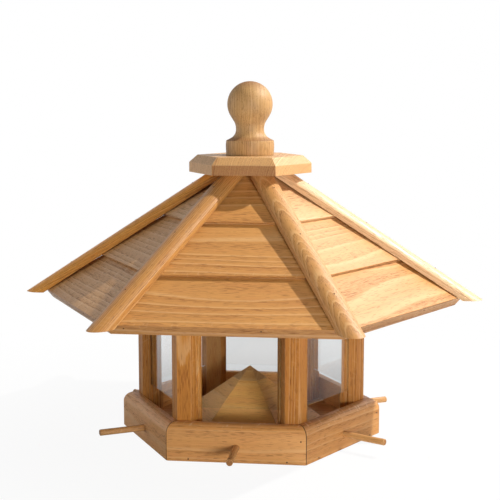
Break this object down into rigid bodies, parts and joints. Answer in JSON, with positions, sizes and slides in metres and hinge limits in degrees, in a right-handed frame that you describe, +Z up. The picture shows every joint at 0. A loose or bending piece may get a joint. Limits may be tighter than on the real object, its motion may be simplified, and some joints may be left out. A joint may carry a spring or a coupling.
{
  "type": "bird feeder",
  "caption": "Hexagonal oak bird feeder: seed tray with perches, clear silo panes between corner posts, lapped board roof with hip battens and a lift-off lid with a turned ball.",
  "frame": {"origin": "middle of the tray's underside, on the ground that the feeder stands on", "axes": "+Z up the feeder's axis, -Y out of the front side, +X towards the corner on the right"},
  "size_m": [0.598, 0.5202, 0.456],
  "materials": {
    "floor_oak": "planed and oiled",
    "rim_oak": "planed and oiled",
    "perch_wood": "planed and oiled",
    "post_oak": "planed and oiled",
    "clear_acrylic": "clear, polished",
    "ring_oak": "planed and oiled",
    "pyramid_wood": "planed and oiled",
    "apex_wood": "planed and oiled",
    "lower_board_oak": "planed and oiled",
    "middle_board_oak": "planed and oiled",
    "upper_board_oak": "planed and oiled",
    "batten_oak": "planed and oiled",
    "cap_oak": "planed and oiled",
    "locator_oak": "planed and oiled",
    "finial_oak": "planed and oiled"
  },
  "bodies": {
    "base": {"floor_board": "floor_oak", "rim_board_front": "rim_oak", "rim_board_right_front": "rim_oak", "rim_board_right_back": "rim_oak", "rim_board_back": "rim_oak", "rim_board_left_back": "rim_oak", "rim_board_left_front": "rim_oak", "perch_front": "perch_wood", "perch_right_front": "perch_wood", "perch_right_back": "perch_wood", "perch_back": "perch_wood", "perch_left_back": "perch_wood", "perch_left_front": "perch_wood", "post_right": "post_oak", "post_back_right": "post_oak", "post_back_left": "post_oak", "post_left": "post_oak", "post_front_left": "post_oak", "post_front_right": "post_oak", "pane_front": "clear_acrylic", "pane_right_front": "clear_acrylic", "pane_right_back": "clear_acrylic", "pane_back": "clear_acrylic", "pane_left_back": "clear_acrylic", "pane_left_front": "clear_acrylic", "head_ring": "ring_oak", "pyramid_board_front": "pyramid_wood", "pyramid_board_right_front": "pyramid_wood", "pyramid_board_right_back": "pyramid_wood", "pyramid_board_back": "pyramid_wood", "pyramid_board_left_back": "pyramid_wood", "pyramid_board_left_front": "pyramid_wood", "pyramid_point": "apex_wood"},
    "roof": {"lower_roof_board_front": "lower_board_oak", "lower_roof_board_right_front": "lower_board_oak", "lower_roof_board_right_back": "lower_board_oak", "lower_roof_board_back": "lower_board_oak", "lower_roof_board_left_back": "lower_board_oak", "lower_roof_board_left_front": "lower_board_oak", "middle_roof_board_front": "middle_board_oak", "middle_roof_board_right_front": "middle_board_oak", "middle_roof_board_right_back": "middle_board_oak", "middle_roof_board_back": "middle_board_oak", "middle_roof_board_left_back": "middle_board_oak", "middle_roof_board_left_front": "middle_board_oak", "upper_roof_board_front": "upper_board_oak", "upper_roof_board_right_front": "upper_board_oak", "upper_roof_board_right_back": "upper_board_oak", "upper_roof_board_back": "upper_board_oak", "upper_roof_board_left_back": "upper_board_oak", "upper_roof_board_left_front": "upper_board_oak", "hip_batten_right": "batten_oak", "hip_batten_back_right": "batten_oak", "hip_batten_back_left": "batten_oak", "hip_batten_left": "batten_oak", "hip_batten_front_left": "batten_oak", "hip_batten_front_right": "batten_oak"},
    "lid": {"cap_plate": "cap_oak", "lid_locator": "locator_oak", "finial": "finial_oak"}
  },
  "joints": [
    {"name": "roof_lift", "type": "slide", "parent": "base", "child": "roof", "axis": [0, 0, 1], "range_m": [0, 0.12]},
    {"name": "lid_lift", "type": "slide", "parent": "roof", "child": "lid", "axis": [0, 0, 1], "range_m": [0, 0.1]}
  ]
}
